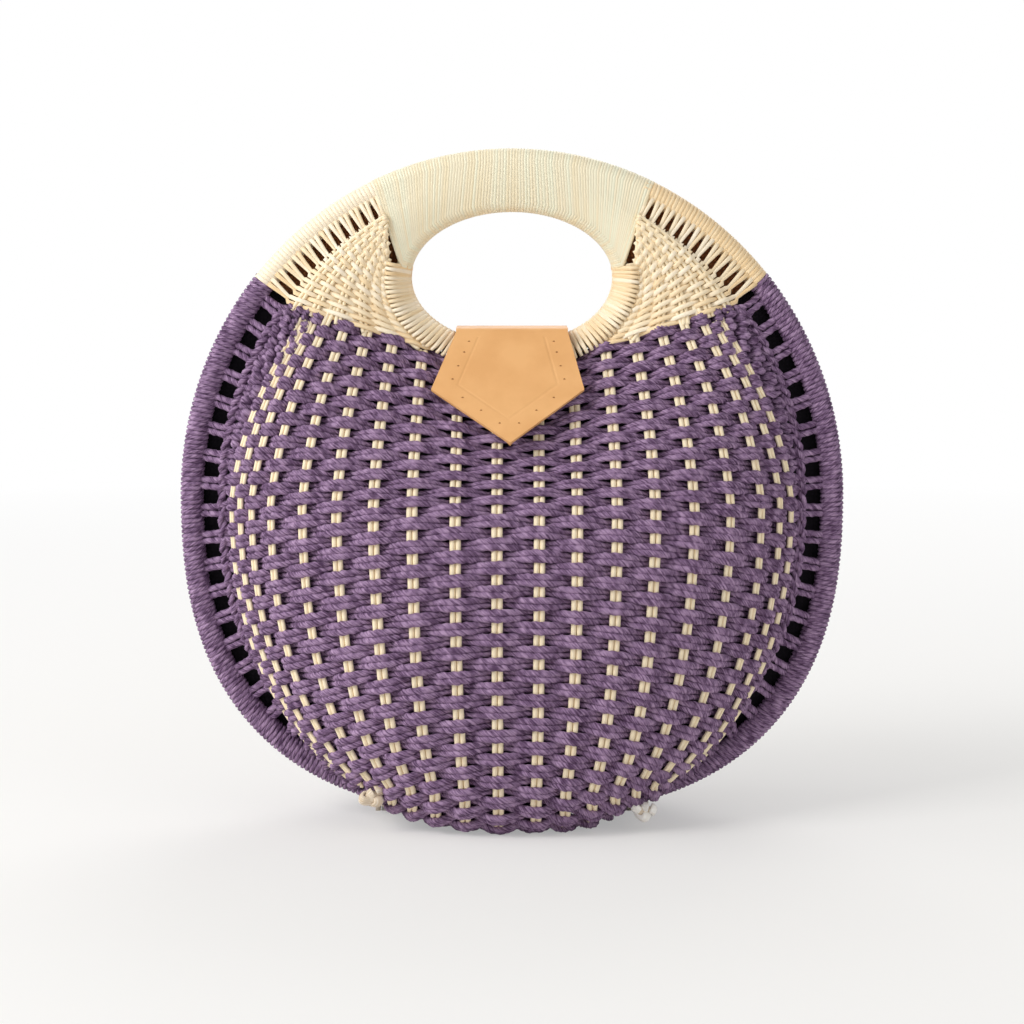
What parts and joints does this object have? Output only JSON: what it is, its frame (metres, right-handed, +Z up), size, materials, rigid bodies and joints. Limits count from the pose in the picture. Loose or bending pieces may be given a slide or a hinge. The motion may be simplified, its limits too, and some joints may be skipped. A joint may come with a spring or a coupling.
{
  "type": "circle bag",
  "caption": "Round clamshell handbag of woven purple paper cord over reed ribs, with an oval hand hole, a wound reed grip and a snapped leather tab.",
  "frame": {"origin": "centre of the bag's footprint on the table", "axes": "+Z up, the front with the tab faces -Y, +X to the viewer's right"},
  "size_m": [0.2982, 0.13, 0.3031],
  "materials": {
    "purple_cord": "twisted paper cord, matt",
    "reed": "natural reed, satin",
    "grip_reed": "flat reed, smooth satin",
    "tie_reed": "split reed, matt",
    "cotton": "dark plain cotton",
    "leather": "smooth tan leather, soft sheen",
    "thread": "waxed thread",
    "snap_metal": "nickel"
  },
  "bodies": {
    "back_shell": {"back_rim_hoop": "reed", "back_rim_wrap": "purple_cord", "back_shoulder_rim_wraps": "reed", "back_hand_ring": "reed", "back_ring_wrap": "reed", "back_grip_wrap": "grip_reed", "back_ribs": "reed", "back_weave": "purple_cord", "back_shoulder_weave_left": "reed", "back_shoulder_weave_right": "reed", "back_lining": "cotton", "back_tie_turns": "tie_reed", "tab_anchor": "leather", "anchor_stitches": "thread"},
    "front_shell": {"front_rim_hoop": "reed", "front_rim_wrap": "purple_cord", "front_shoulder_rim_wraps": "reed", "front_hand_ring": "reed", "front_ring_wrap": "reed", "front_grip_wrap": "grip_reed", "front_ribs": "reed", "front_weave": "purple_cord", "front_shoulder_weave_left": "reed", "front_shoulder_weave_right": "reed", "front_lining": "cotton", "front_tie_turns": "tie_reed", "tie_knots": "tie_reed", "snap_socket": "snap_metal", "snap_patch": "leather", "patch_stitches": "thread"},
    "tab": {"tab_leaf": "leather", "tab_backing": "leather", "tab_stitches": "thread", "snap_stud": "snap_metal"}
  },
  "joints": [
    {"name": "shell_open", "type": "hinge", "parent": "back_shell", "child": "front_shell", "pos_m": [0, 0, 0.0013], "axis": [1, 0, 0], "range_deg": [0, 60]},
    {"name": "tab_lift", "type": "hinge", "parent": "back_shell", "child": "tab", "pos_m": [0, 0.0137, 0.22277], "axis": [-1, 0, 0], "range_deg": [0, 85], "deforming": ["tab_leaf", "tab_backing", "tab_stitches", "snap_stud"]}
  ]
}
